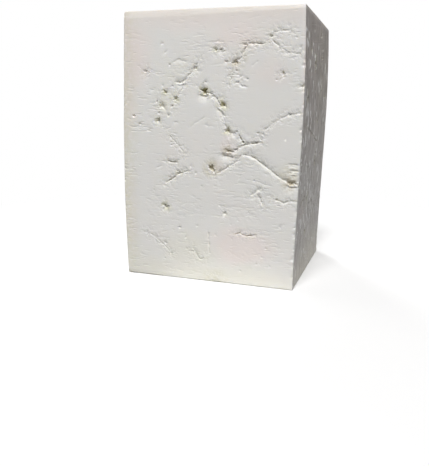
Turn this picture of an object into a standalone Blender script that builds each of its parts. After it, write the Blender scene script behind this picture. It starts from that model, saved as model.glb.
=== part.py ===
"""A block of hard, salted white cheese, cut from a larger brined block and standing on its end.

Lengths are metres and +Z is up. The origin is on the surface that the block stands on, under the
middle of its box. The cut face that shows the widest fissures looks along -Y.
"""

import random
from collections import namedtuple
from math import atan2, cos, hypot, pi, radians, sin

import bmesh
import bpy
from mathutils import Vector

MM = 0.001

# The block's outer box.
WIDTH = 90.4 * MM
DEPTH = 86.2 * MM
HEIGHT = 130.0 * MM

# How far a side's edges lie inside the box at the two ends, where the block is least bowed.
LEFT_BOW = 1.5 * MM
RIGHT_BOW = 1.2 * MM
FRONT_BOW = 0.6 * MM
BACK_BOW = 1.2 * MM
TOP_DOME = 0.2 * MM

# The left side bows most below its middle and the right side above it. The top domes only close to it.
LEFT_BOW_POWER = 0.82
RIGHT_BOW_POWER = 1.75
DOME_POWER = 6

# Rounding of the edges: the moulded edges are soft, and the edges of the cut face are crisp.
TOP_ROUND = 1.2 * MM
BACK_ROUND = 1.6 * MM
LEFT_ROUND = 1.2 * MM
BASE_ROUND = 0.7 * MM
CUT_ROUND = 0.5 * MM
ROUND_SEGMENTS = 3

# The sides are divided this finely, so that they can bow.
GRID = 11.0 * MM

# Cutters stand this far out of the face that they cut.
STAND_OUT = 1.0 * MM

# A crack is this shallow and narrow at its ends, as a share of its middle, and varies this much.
END_SWELL = 0.55
SWELL_JITTER = (0.85, 1.15)

# A crack that opens wider than this above its line has a shelf there, and a slit below the shelf. The
# shelf ends this near the line and this deep, as shares of the opening and of the crack's depth.
SHELF_WIDTH = 2.0
BRINK_SHARE = 0.25
BRINK_DEPTH = 0.35

# Where a crack's line gets another point in a stretch, and how far to the side, as shares of the stretch.
WANDER_ALONG = (0.4, 0.6)
WANDER_ASIDE = 0.1

# A pit's mouth has this many corners, each drawn in or out a little. Its waist is part of the way down.
PIT_CORNERS = 7
PIT_REACH = (0.8, 1.15)
PIT_WAIST = 0.6
PIT_FLOOR_RISE = 0.2

# Drawn cracks and pits, in millimetres: how far they keep from the face's edges and from each other.
CRACK_MARGIN = 8.0
CRACK_END_MARGIN = 4.0
CRACK_GAP = 7.0
PIT_MARGIN = 6.0

# What a drawn crack may be: its bends, its heading off the face's middle, and its sizes in millimetres.
CRACK_BENDS = (3, 5)
CRACK_HEADING = 1.2
CRACK_TURN = 0.6
CRACK_STRETCH = (3.0, 6.0)
CRACK_WIDTH = (0.5, 0.9)
CRACK_LOWER_SHARE = 0.8
CRACK_DEPTH = (0.9, 1.7)

# What a drawn pit may be: its half width in millimetres, its shape against that, and its tilt in degrees.
PIT_WIDTH = (0.9, 1.9)
PIT_FLATNESS = (0.6, 0.9)
PIT_DEPTH = (1.0, 1.5)
PIT_TILT = 40

CURD_COLOUR = (0.83, 0.81, 0.77, 1.0)
CURD_ROUGHNESS = 0.55
SHARP_ANGLE = 35

# A face of the block: its middle, the directions along it and up it, and half its width and height.
Face = namedtuple("Face", "middle along up half_along half_up")

# A crack: how far its walls open above and below its line, how deep it goes, and the line's points.
Fissure = namedtuple("Fissure", "above below depth line")

# A hole between curds: its place, half its width and height, how deep it goes, and its tilt in degrees.
Pit = namedtuple("Pit", "along up half_width half_height depth tilt")

MIDDLE_UP = HEIGHT / 2
UP = Vector((0, 0, 1))
FACES = {
    "front": Face(Vector((0, -DEPTH / 2, MIDDLE_UP)), Vector((1, 0, 0)), UP, WIDTH / 2, MIDDLE_UP),
    "right": Face(Vector((WIDTH / 2, 0, MIDDLE_UP)), Vector((0, 1, 0)), UP, DEPTH / 2, MIDDLE_UP),
    "back": Face(Vector((0, DEPTH / 2, MIDDLE_UP)), Vector((-1, 0, 0)), UP, WIDTH / 2, MIDDLE_UP),
    "left": Face(Vector((-WIDTH / 2, 0, MIDDLE_UP)), Vector((0, -1, 0)), UP, DEPTH / 2, MIDDLE_UP),
    "top": Face(Vector((0, 0, HEIGHT)), Vector((1, 0, 0)), Vector((0, 1, 0)), WIDTH / 2, DEPTH / 2),
}

# The cracks of the cut face. Every number is in millimetres, and a line's points are measured from the
# face's middle line and from the base.
FRONT_FISSURES = {
    "long fissure": Fissure(3.6, 0.7, 2.8, (
        (16.5, 65.6), (21, 65), (26, 62), (31.5, 58.2), (36.5, 54.8), (44.6, 52.6))),
    "crack over the long fissure": Fissure(0.9, 0.9, 1.7, (
        (8.2, 67), (12.5, 66.4), (16, 69.2), (20, 70.5), (26, 71.8))),
    "crack left of the long fissure": Fissure(0.7, 0.5, 1.4, (
        (3.6, 55.4), (7.5, 57.6), (11.5, 60.4), (13.8, 61.6), (16.8, 65.6))),
    "rising crack to the cut edge": Fissure(0.7, 0.6, 1.1, (
        (25.3, 71.8), (27.5, 77), (32, 80.8), (38, 84), (44.8, 85))),
    "short black crack": Fissure(0.6, 0.6, 1.8, (
        (14.9, 75.2), (16.2, 72.3), (18.8, 69.8))),
    "crack between the great pits": Fissure(0.8, 0.6, 1.5, (
        (-3, 94), (1.4, 93.2), (4.2, 90.6), (5.4, 87.4))),
    "crack down to the middle": Fissure(0.5, 0.5, 0.9, (
        (5, 87), (7.3, 82), (8.6, 78.6), (9.3, 76))),
    "arrow crack": Fissure(1.0, 0.7, 1.7, (
        (-5.2, 108.6), (-7.3, 105), (-10.4, 101.8), (-13, 98.5), (-17, 98))),
    "tail of the arrow": Fissure(0.5, 0.4, 0.8, (
        (-12.3, 97.4), (-15, 93.3), (-17.5, 89), (-20, 85))),
    "zigzag crack": Fissure(0.8, 0.6, 1.5, (
        (12.4, 106.8), (15, 108.9), (16.8, 113), (19, 115.4), (26.5, 115))),
    "loop by the corner": Fissure(0.6, 0.5, 1.1, (
        (39, 120.2), (34.8, 120.6), (31, 119.9), (29, 117.8))),
    "crack under the loop": Fissure(0.6, 0.5, 1.1, (
        (28.8, 117.8), (30.6, 115.7), (33.4, 113.6), (37.5, 111.1), (43, 110.5))),
    "shelf on the left": Fissure(3.2, 0.5, 1.6, (
        (-21.8, 50), (-18.8, 52.2), (-15.3, 54.9), (-10.5, 56.5))),
    "slit over the shelf": Fissure(0.6, 0.9, 1.4, (
        (-21.6, 61), (-19, 60.6), (-16, 60.3))),
    "wedge below the long fissure": Fissure(1.1, 0.5, 1.4, (
        (27.4, 50.2), (25, 48.9), (23.4, 47.2), (21, 46.4))),
    "tail of the wedge": Fissure(0.5, 0.5, 0.9, (
        (24.8, 47.2), (26.4, 45), (27.3, 43), (28.6, 40.8))),
    "level crack to the cut edge": Fissure(0.6, 0.5, 1.1, (
        (33, 45.4), (36.5, 44.6), (38, 43.7), (40, 44.6), (44.8, 44.9))),
    "slanting crack on the left": Fissure(0.6, 0.5, 1.0, (
        (-20.8, 74.2), (-18, 71), (-15.5, 68.6), (-12.2, 64.8))),
    "twin slit": Fissure(0.5, 0.5, 1.0, (
        (14, 26.1), (17, 27.2), (20.6, 26), (24.6, 26.6))),
    "slanting crack at the foot": Fissure(0.5, 0.4, 0.7, (
        (-34, 24), (-30, 22.2), (-26.5, 19.6), (-22, 16), (-19.6, 13))),
    "bent crack at the foot": Fissure(0.5, 0.5, 0.9, (
        (-8, 17.6), (-6, 14.4), (-4, 11.7), (-1.6, 12.7))),
    "upright crack": Fissure(0.6, 0.5, 1.2, (
        (11.3, 104.2), (11, 101.5), (10.1, 98))),
}
FRONT_PITS = {
    "great pit": Pit(-2.6, 94.6, 1.7, 2.0, 3.4, 10),
    "second pit": Pit(6.7, 88.2, 2.0, 1.4, 2.9, -8),
    "pit at the middle": Pit(9.3, 76.3, 1.5, 1.2, 2.5, 0),
    "pit under the middle": Pit(9.9, 66.9, 1.9, 1.1, 2.3, -12),
    "slanting pit": Pit(1.9, 58.3, 2.7, 1.2, 3.0, -55),
    "hole at the end of the long fissure": Pit(41.2, 53.3, 2.3, 1.5, 3.4, 0),
    "lone pit": Pit(-22.4, 38.0, 1.8, 1.3, 2.5, -30),
    "foot of the zigzag": Pit(12.4, 107.4, 2.0, 1.4, 2.2, 0),
    "bend of the zigzag": Pit(17.0, 114.7, 1.4, 0.9, 1.7, 0),
    "pit by the left edge": Pit(-22.7, 93.8, 1.2, 0.9, 1.8, -30),
    "lipped pit": Pit(-26.4, 80.4, 1.3, 0.9, 1.9, 10),
    "head of the arrow": Pit(-7.3, 105.0, 1.3, 1.0, 1.7, 0),
    "first of a pair": Pit(2.8, 112.8, 1.0, 0.9, 1.5, 0),
    "second of a pair": Pit(5.5, 112.7, 0.9, 0.7, 1.2, 0),
    "drop pit": Pit(35.0, 102.2, 0.8, 1.1, 1.4, 0),
    "hooked pit": Pit(9.2, 36.6, 1.2, 0.9, 1.4, -40),
    "pit on the shelf": Pit(-15.4, 54.9, 1.1, 0.8, 1.6, 20),
    "pit in the loop": Pit(29.1, 118.1, 0.9, 0.9, 1.4, 0),
    "small roof": Pit(-33.2, 103.5, 1.5, 0.8, 1.2, 0),
    "shallow pit": Pit(-24.3, 87.2, 1.6, 1.4, 1.1, -30),
    "pit on the arrow's tail": Pit(-17.2, 90.8, 1.6, 0.9, 1.5, 35),
    "notch in the cut edge": Pit(44.2, 96.8, 2.0, 1.4, 1.8, 0),
}
RIGHT_PITS = {
    "high pit": Pit(-10.0, 108.0, 3.0, 1.0, 1.6, 8),
    "far pit": Pit(15.0, 95.5, 2.8, 1.0, 1.6, -6),
    "pit near the cut edge": Pit(-31.0, 91.0, 2.4, 1.1, 1.7, 0),
    "low pit": Pit(-14.0, 41.0, 2.6, 1.0, 1.6, 5),
    "pit by the foot": Pit(-13.0, 23.5, 2.4, 1.0, 1.5, -4),
}
RIGHT_FISSURES = {
    "stepped crack": Fissure(0.9, 0.7, 1.5, (
        (-31, 77.5), (-24, 76.2), (-16, 74.6), (-6, 72.4), (4, 69.4), (12, 69))),
    "crack by the back": Fissure(0.8, 0.6, 1.3, (
        (21, 77.6), (28, 78.6), (36, 77.9))),
    "crack by the front": Fissure(0.7, 0.6, 1.2, (
        (-27, 58.6), (-20, 57.4), (-13, 57.6))),
}

# Cracks and pits that are drawn by chance: how many of each a face has, and the seed of its draw.
SCATTERED = {"right": (3, 8, 11), "back": (7, 12, 23), "left": (7, 12, 37), "top": (2, 5, 53)}


def side_draw(x, z):
    """How far a point on the left or right side lies inside the box."""
    share = z / HEIGHT
    if x < 0:
        return LEFT_BOW * (1 - sin(pi * share**LEFT_BOW_POWER))
    return RIGHT_BOW * (1 - sin(pi * share**RIGHT_BOW_POWER))


def bow(point):
    """The point where the block's soft, slightly barrelled form has it."""
    across, deep = 2 * point.x / WIDTH, 2 * point.y / DEPTH
    share = min(max(point.z / HEIGHT, 0), 1)
    bulge = sin(pi * share) * (1 - across**2)
    x = point.x - across * side_draw(point.x, point.z)
    y = point.y - deep * (FRONT_BOW if deep < 0 else BACK_BOW) * (1 - bulge)
    dome = TOP_DOME * (across**2 + deep**2) / 2
    return Vector((x, y, point.z - dome * share**DOME_POWER))


def base_up(face):
    """How far up the face's middle lies, in millimetres. A side is measured from the block's base."""
    return face.half_up / MM if face.up.z else 0


def on_face(face, along, up, out):
    """The point that far along the face, up it and out of it, in metres."""
    risen = up - base_up(face) * MM
    return face.middle + face.along * along + face.up * risen + face.along.cross(face.up) * out


def wander(rng, line):
    """The line with a point added in each stretch, set a little to one side."""
    points = [Vector(line[0])]
    for end in line[1:]:
        start = points[-1]
        run = Vector(end) - start
        aside = Vector((-run.y, run.x)) * rng.uniform(-WANDER_ASIDE, WANDER_ASIDE)
        points += [start + run * rng.uniform(*WANDER_ALONG) + aside, Vector(end)]
    return points


def fan(mesh, loop, point):
    """Closes a loop of vertices on a point."""
    tip = mesh.verts.new(point)
    for i in range(len(loop)):
        mesh.faces.new((loop[i - 1], loop[i], tip))


def closed_object(name, rings, tip, start=None):
    """A closed form through rings of points that ends in the tip, and starts in a point or a flat cap."""
    mesh = bmesh.new()
    loops = [[mesh.verts.new(point) for point in ring] for ring in rings]
    for loop, following in zip(loops, loops[1:]):
        for i in range(len(loop)):
            mesh.faces.new((loop[i - 1], loop[i], following[i], following[i - 1]))
    fan(mesh, loops[-1], tip)
    if start is None:
        mesh.faces.new(loops[0])
    else:
        fan(mesh, loops[0], start)
    bmesh.ops.recalc_face_normals(mesh, faces=mesh.faces)
    if mesh.calc_volume(signed=True) < 0:
        bmesh.ops.reverse_faces(mesh, faces=mesh.faces)
    data = bpy.data.meshes.new(name)
    mesh.to_mesh(data)
    mesh.free()
    return bpy.data.objects.new(name, data)


def fissure_cutter(name, face, fissure, rng):
    """A wedge that follows the crack's line and runs out of the face at both ends."""
    line = wander(rng, fissure.line)
    shelved = fissure.above > SHELF_WIDTH
    rings = []
    for i, here in enumerate(line[1:-1], start=1):
        run = (line[i + 1] - line[i - 1]).normalized()
        aside = Vector((-run.y, run.x))
        if aside.y < 0:
            aside = -aside
        share = i / (len(line) - 1)
        swell = (END_SWELL + (1 - END_SWELL) * sin(pi * share)) * rng.uniform(*SWELL_JITTER)
        depth = fissure.depth * swell * MM
        flare = 1 + STAND_OUT / depth
        upper_flare = 1 + (1 - BRINK_SHARE) * STAND_OUT / (BRINK_DEPTH * depth) if shelved else flare
        upper = (here + aside * fissure.above * swell * upper_flare) * MM
        lower = (here - aside * fissure.below * swell * flare) * MM
        ring = [on_face(face, upper.x, upper.y, STAND_OUT)]
        if shelved:
            brink = (here + aside * fissure.above * swell * BRINK_SHARE) * MM
            ring.append(on_face(face, brink.x, brink.y, -BRINK_DEPTH * depth))
        ring.append(on_face(face, here.x * MM, here.y * MM, -depth))
        ring.append(on_face(face, lower.x, lower.y, STAND_OUT))
        rings.append(ring)
    head, tail = line[0] * MM, line[-1] * MM
    start = on_face(face, head.x, head.y, STAND_OUT / 2)
    return closed_object(name, rings, on_face(face, tail.x, tail.y, STAND_OUT / 2), start)


def pit_cutter(name, face, pit, rng):
    """A rough cone with an uneven mouth, its point inside the block."""
    turn = radians(pit.tilt)
    flare = 1 + STAND_OUT / (pit.depth * MM)
    waist_depth = PIT_WAIST * pit.depth * MM
    mouth, waist = [], []
    for i in range(PIT_CORNERS):
        angle = 2 * pi * i / PIT_CORNERS
        reach = rng.uniform(*PIT_REACH)
        across, high = pit.half_width * reach * cos(angle), pit.half_height * reach * sin(angle)
        x, z = across * cos(turn) - high * sin(turn), across * sin(turn) + high * cos(turn)
        for ring, share, out in ((mouth, flare, STAND_OUT), (waist, PIT_WAIST, -waist_depth)):
            ring.append(on_face(face, (pit.along + x * share) * MM, (pit.up + z * share) * MM, out))
    floor_up = (pit.up + PIT_FLOOR_RISE * pit.half_height) * MM
    return closed_object(name, (mouth, waist), on_face(face, pit.along * MM, floor_up, -pit.depth * MM))


def drawn_place(face, margin, rng):
    """A place on the face, in millimetres, that far from its edges."""
    reach_along, reach_up = face.half_along / MM - margin, face.half_up / MM - margin
    along = rng.uniform(-reach_along, reach_along)
    return Vector((along, base_up(face) + rng.uniform(-reach_up, reach_up)))


def drawn_fissure(face, rng):
    """A crack with a wandering line that starts towards the face's middle."""
    line = [drawn_place(face, CRACK_MARGIN, rng)]
    heading = atan2(base_up(face) - line[0].y, -line[0].x) + rng.uniform(-CRACK_HEADING, CRACK_HEADING)
    for _ in range(rng.randint(*CRACK_BENDS)):
        heading += rng.uniform(-CRACK_TURN, CRACK_TURN)
        line.append(line[-1] + Vector((cos(heading), sin(heading))) * rng.uniform(*CRACK_STRETCH))
    width = rng.uniform(*CRACK_WIDTH)
    return Fissure(width, CRACK_LOWER_SHARE * width, rng.uniform(*CRACK_DEPTH), line)


def drawn_pit(face, rng):
    """A pit of random size somewhere on the face."""
    place = drawn_place(face, PIT_MARGIN, rng)
    width = rng.uniform(*PIT_WIDTH)
    flatness, depth = rng.uniform(*PIT_FLATNESS), rng.uniform(*PIT_DEPTH)
    return Pit(place.x, place.y, width, width * flatness, width * depth, rng.uniform(-PIT_TILT, PIT_TILT))


def has_room(face, taken, fissure):
    """Whether a drawn crack stays on the face and clear of the cracks that are there."""
    for along, up in fissure.line:
        if abs(along) > face.half_along / MM - CRACK_END_MARGIN:
            return False
        if abs(up - base_up(face)) > face.half_up / MM - CRACK_END_MARGIN:
            return False
        for other in taken:
            if any(hypot(along - x, up - z) < CRACK_GAP for x, z in other.line):
                return False
    return True


def scatter(name, fissures=(), pits=()):
    """The face's own cracks and pits with the drawn ones added."""
    crack_count, pit_count, seed = SCATTERED[name]
    face, rng = FACES[name], random.Random(seed)
    fissures, pits = list(fissures), list(pits)
    wanted = len(fissures) + crack_count
    while len(fissures) < wanted:
        drawn = drawn_fissure(face, rng)
        if has_room(face, fissures, drawn):
            fissures.append(drawn)
    pits += [drawn_pit(face, rng) for _ in range(pit_count)]
    return fissures, pits


def relief_of(name):
    """The cracks and pits of the named face."""
    if name == "front":
        return FRONT_FISSURES.values(), FRONT_PITS.values()
    if name == "right":
        return scatter(name, RIGHT_FISSURES.values(), RIGHT_PITS.values())
    return scatter(name)


def make_cutters():
    """A collection with one cutter for each crack and pit."""
    cutters = bpy.data.collections.new("cutters")
    bpy.context.scene.collection.children.link(cutters)
    for name, face in FACES.items():
        rng = random.Random(len(name))
        fissures, pits = relief_of(name)
        for fissure in fissures:
            cutters.objects.link(fissure_cutter(f"{name}_fissure", face, fissure, rng))
        for pit in pits:
            cutters.objects.link(pit_cutter(f"{name}_pit", face, pit, rng))
    return cutters


def edge_round(edge):
    """How wide the box's edge is rounded."""
    middle = (edge.verts[0].co + edge.verts[1].co) / 2
    level = round(middle.z / HEIGHT, 1)
    if level == 1:
        return TOP_ROUND
    if level == 0:
        return BASE_ROUND
    if middle.y > 0:
        return BACK_ROUND
    return LEFT_ROUND if middle.x < 0 else CUT_ROUND


def make_box():
    """The block as a box with rounded edges, divided so that its sides can bow."""
    mesh = bmesh.new()
    bmesh.ops.create_cube(mesh, size=1)
    bmesh.ops.scale(mesh, vec=(WIDTH, DEPTH, HEIGHT), verts=mesh.verts)
    bmesh.ops.translate(mesh, vec=(0, 0, MIDDLE_UP), verts=mesh.verts)
    weight = mesh.edges.layers.float.new("bevel_weight_edge")
    for edge in mesh.edges:
        edge[weight] = edge_round(edge) / BACK_ROUND
    data = bpy.data.meshes.new("cheese_block")
    mesh.to_mesh(data)
    mesh.free()
    block = bpy.data.objects.new("cheese_block", data)
    bpy.context.scene.collection.objects.link(block)
    rounding = block.modifiers.new("rounded edges", "BEVEL")
    rounding.limit_method = "WEIGHT"
    rounding.width = BACK_ROUND
    rounding.segments = ROUND_SEGMENTS
    bake(block)
    divide(block.data)
    return block


def divide(data):
    """Cuts the mesh by evenly spaced planes along each axis."""
    mesh = bmesh.new()
    mesh.from_mesh(data)
    for axis, start, length in ((0, -WIDTH / 2, WIDTH), (1, -DEPTH / 2, DEPTH), (2, 0, HEIGHT)):
        steps = round(length / GRID)
        for step in range(1, steps):
            place, normal = Vector(), Vector()
            place[axis], normal[axis] = start + length * step / steps, 1
            geometry = [*mesh.verts, *mesh.edges, *mesh.faces]
            bmesh.ops.bisect_plane(mesh, geom=geometry, plane_co=place, plane_no=normal)
    mesh.to_mesh(data)
    mesh.free()


def bake(obj):
    """Replaces the object's mesh with what its modifiers make of it."""
    graph = bpy.context.evaluated_depsgraph_get()
    data = bpy.data.meshes.new_from_object(obj.evaluated_get(graph))
    obj.modifiers.clear()
    obj.data = data


def carve(block, cutters):
    """Cuts every crack and pit out of the block, then removes the cutters."""
    cut = block.modifiers.new("fissures and pits", "BOOLEAN")
    cut.operation = "DIFFERENCE"
    cut.operand_type = "COLLECTION"
    cut.collection = cutters
    cut.solver = "EXACT"
    bake(block)
    for cutter in list(cutters.objects):
        bpy.data.objects.remove(cutter)
    bpy.data.collections.remove(cutters)


def soften(block):
    """Bows the sides and divides the mesh into triangles, since a bowed face isn't flat."""
    mesh = bmesh.new()
    mesh.from_mesh(block.data)
    for vert in mesh.verts:
        vert.co = bow(vert.co)
    bmesh.ops.triangulate(mesh, faces=mesh.faces)
    mesh.to_mesh(block.data)
    mesh.free()


def curd_material():
    """Matt white curd with a faint warm tint."""
    material = bpy.data.materials.new("curd")
    material.use_nodes = True
    shader = material.node_tree.nodes["Principled BSDF"]
    shader.inputs["Base Color"].default_value = CURD_COLOUR
    shader.inputs["Roughness"].default_value = CURD_ROUGHNESS
    shader.inputs["Metallic"].default_value = 0
    return material


def main():
    for obj in list(bpy.data.objects):
        bpy.data.objects.remove(obj)
    block = make_box()
    carve(block, make_cutters())
    soften(block)
    block.data.materials.clear()
    block.data.materials.append(curd_material())
    block.data.shade_smooth()
    block.data.set_sharp_from_angle(angle=radians(SHARP_ANGLE))


main()
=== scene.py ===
"""The looks of a block of hard, salted white cheese, laid out as an add-on.

The block is modelled over the CAD solid and has the same cracks and pits, with the finer ones, the
ragged lips and the crumbly patches that the solid leaves out. Tables are in millimetres.
"""

import random
from collections import namedtuple
from math import atan2, cos, hypot, pi, radians, sin

import bpy
import numpy as np
from bpy.props import FloatProperty, FloatVectorProperty, PointerProperty
from mathutils import Matrix, Vector, noise


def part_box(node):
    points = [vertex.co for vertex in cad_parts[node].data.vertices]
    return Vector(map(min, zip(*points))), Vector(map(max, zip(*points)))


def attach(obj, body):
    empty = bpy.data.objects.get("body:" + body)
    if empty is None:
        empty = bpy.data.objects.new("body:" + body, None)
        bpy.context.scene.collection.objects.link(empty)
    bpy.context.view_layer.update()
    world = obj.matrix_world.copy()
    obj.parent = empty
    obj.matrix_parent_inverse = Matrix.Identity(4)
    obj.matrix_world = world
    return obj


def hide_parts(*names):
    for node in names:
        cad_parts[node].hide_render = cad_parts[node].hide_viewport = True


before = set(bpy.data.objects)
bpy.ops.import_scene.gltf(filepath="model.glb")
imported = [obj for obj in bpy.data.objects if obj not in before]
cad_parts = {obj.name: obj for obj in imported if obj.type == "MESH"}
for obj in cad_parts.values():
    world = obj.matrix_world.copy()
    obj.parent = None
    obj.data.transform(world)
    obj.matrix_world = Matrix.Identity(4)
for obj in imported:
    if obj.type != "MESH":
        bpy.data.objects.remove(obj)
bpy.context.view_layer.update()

bl_info = {
    "name": "Salted White Cheese Block",
    "version": (1, 0, 0),
    "blender": (4, 5, 0),
    "location": "3D View > Sidebar > Cheese",
    "description": "Models a block of hard, salted white cheese, its finish and a plain stage",
    "category": "Object",
}

MM = 0.001
LOW, HIGH = (np.array(corner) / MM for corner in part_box("cheese_block"))
SIZE = HIGH - LOW

# A side of the block: the directions along it, up it and out of it.
Side = namedtuple("Side", "along up out")
SIDES = {
    "front": Side((1, 0, 0), (0, 0, 1), (0, -1, 0)),
    "right": Side((0, 1, 0), (0, 0, 1), (1, 0, 0)),
    "back": Side((-1, 0, 0), (0, 0, 1), (0, 1, 0)),
    "left": Side((0, -1, 0), (0, 0, 1), (-1, 0, 0)),
    "top": Side((1, 0, 0), (0, 1, 0), (0, 0, 1)),
}

# A crack: how wide the slopes above and below its line are, how far they sink at the line, how deep the
# slit along the line goes, and the line's points.
Crack = namedtuple("Crack", "shelf lip sink slit line")

# A hole between curds: its place, half its width, how far it opens upwards and downwards, how deep it
# goes, its tilt in degrees, and how brown its stain is instead of green.
Pit = namedtuple("Pit", "along up half_width rise fall depth tilt brown", defaults=(0.0,))

# A patch where the curd crumbled under the knife: its place, half its width and height, and how deep.
Crumble = namedtuple("Crumble", "along up half_width half_height depth")

# A small flake of skin that stands proud: its place, half its width and height, and how far it stands out.
Fleck = namedtuple("Fleck", "along up half_width half_height proud")

# The cracks and pits of the cut face, as the solid has them.
FRONT_CRACKS = [Crack(*row) for row in (
    (3.8, 1.1, 0.50, 0.7, [(16.5, 65.6), (21, 65), (26, 62), (31.5, 58.2), (36.5, 54.8), (44.6, 52.6)]),
    (1.6, 1.4, 0.22, 0.8, [(8.2, 67), (12.5, 66.4), (16, 69.2), (20, 70.5), (26, 71.4)]),
    (1.4, 1.0, 0.20, 0.5, [(3.6, 55.4), (7.5, 57.6), (11.5, 60.4), (13.8, 61.6), (16.8, 65.6)]),
    (1.8, 0.9, 0.14, 0.3, [(25.3, 71.8), (27.5, 77), (32, 80.8), (38, 84), (44.8, 85)]),
    (0.8, 0.6, 0.16, 1.8, [(14.9, 75.2), (16.2, 72.3), (18.8, 69.8)]),
    (1.2, 1.4, 0.26, 0.5, [(-3, 94), (1.4, 93.2), (4.2, 90.6), (5.4, 87.4)]),
    (0.5, 1.8, 0.20, 0.2, [(5, 87), (7.3, 82), (8.6, 78.6), (9.3, 76)]),
    (2.0, 0.8, 0.22, 0.6, [(-5.2, 108.6), (-7.3, 105), (-10.4, 101.8), (-13, 98.5), (-17, 98)]),
    (1.8, 0.6, 0.14, 0.2, [(-12.3, 97.4), (-15, 93.3), (-17.5, 89), (-20, 85)]),
    (2.0, 1.0, 0.32, 0.9, [(12.4, 106.8), (15, 108.9), (16.8, 113), (19, 115.4), (26.5, 115)]),
    (0.8, 0.7, 0.12, 0.3, [(39, 120.2), (34.8, 120.6), (31, 119.9), (29, 117.8)]),
    (0.7, 1.3, 0.16, 0.5, [(28.8, 117.8), (30.6, 115.7), (33.4, 113.6)]),
    (0.7, 1.2, 0.14, 0.12, [(34.2, 113), (37.5, 111.1), (43, 110.5)]),
    (3.2, 0.8, 0.34, 1.0, [(-21.8, 50), (-18.8, 52.2), (-15.3, 54.9), (-10.5, 56.5)]),
    (1.4, 0.7, 0.20, 2.2, [(-21.6, 61), (-19, 60.6), (-16, 60.3)]),
    (2.4, 0.8, 0.36, 0.5, [(27.4, 50.2), (25, 48.9), (23.4, 47.2), (21, 46.4)]),
    (0.8, 1.2, 0.26, 0.4, [(24.8, 47.2), (26.4, 45), (27.3, 43), (28.6, 40.8)]),
    (0.7, 1.2, 0.20, 0.6, [(33, 45.4), (36.5, 44.6), (38, 43.7), (40, 44.6), (44.8, 44.9)]),
    (0.8, 0.8, 0.12, 0.5, [(-20.8, 74.2), (-18, 71), (-15.5, 68.6), (-12.2, 64.8)]),
    (0.8, 0.6, 0.12, 0.9, [(14, 26.1), (17, 27.2), (20.6, 26), (24.6, 26.6)]),
    (0.9, 0.6, 0.10, 0.15, [(-34, 24), (-30, 22.2), (-26.5, 19.6), (-22, 16), (-19.6, 13)]),
    (1.2, 0.8, 0.18, 0.6, [(-8, 17.6), (-6, 14.4), (-4, 11.7), (-1.6, 12.7)]),
    (0.6, 0.6, 0.12, 0.7, [(11.3, 104.2), (11, 101.5), (10.1, 98)]),
)]
FRONT_PITS = [Pit(*row) for row in (
    (-2.6, 94.6, 1.9, 2.1, 4.6, 3.0, 10),
    (6.7, 88.2, 2.1, 1.6, 3.0, 1.7, -8),
    (9.3, 76.3, 1.6, 1.4, 1.6, 1.5, 0),
    (9.9, 66.9, 2.1, 1.2, 1.8, 1.3, -12, 0.8),
    (1.9, 58.3, 2.8, 1.4, 1.8, 1.9, -55, 0.6),
    (41.2, 53.3, 2.6, 1.7, 2.6, 1.6, 0, 1.0),
    (-22.4, 38.0, 1.9, 1.5, 2.4, 1.3, -30),
    (12.4, 107.4, 2.1, 1.5, 1.8, 1.3, 0, 1.0),
    (17.0, 114.7, 1.4, 0.9, 1.0, 0.8, 0, 0.8),
    (-22.7, 93.8, 1.3, 1.0, 1.0, 1.3, -30),
    (-26.4, 80.4, 1.4, 1.0, 1.8, 1.3, 10),
    (-7.3, 105.0, 1.3, 1.0, 1.2, 0.8, 0),
    (2.8, 112.8, 1.1, 1.0, 1.2, 1.1, 0),
    (5.5, 112.7, 0.9, 0.7, 1.0, 0.8, 0),
    (35.0, 102.2, 0.8, 1.2, 1.2, 0.9, 0),
    (9.2, 36.6, 1.2, 0.9, 1.2, 0.8, -40),
    (-15.4, 54.9, 1.2, 0.9, 1.0, 1.2, 20),
    (29.1, 118.1, 0.9, 0.9, 1.0, 0.9, 0),
    (-33.2, 103.5, 1.5, 0.8, 1.4, 0.6, 0, 0.6),
    (-24.3, 87.2, 2.2, 1.9, 1.4, 0.9, -30),
    (-17.2, 90.8, 1.9, 1.1, 1.0, 1.2, 35),
    (44.3, 96.6, 1.8, 1.1, 1.2, 0.8, 0),
)]

# A chip in the edge that the block stands on, which the solid leaves out.
BASE_CHIP = Pit(4.0, 0.3, 4.5, 1.0, 1.0, 0.9, 0)

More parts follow.
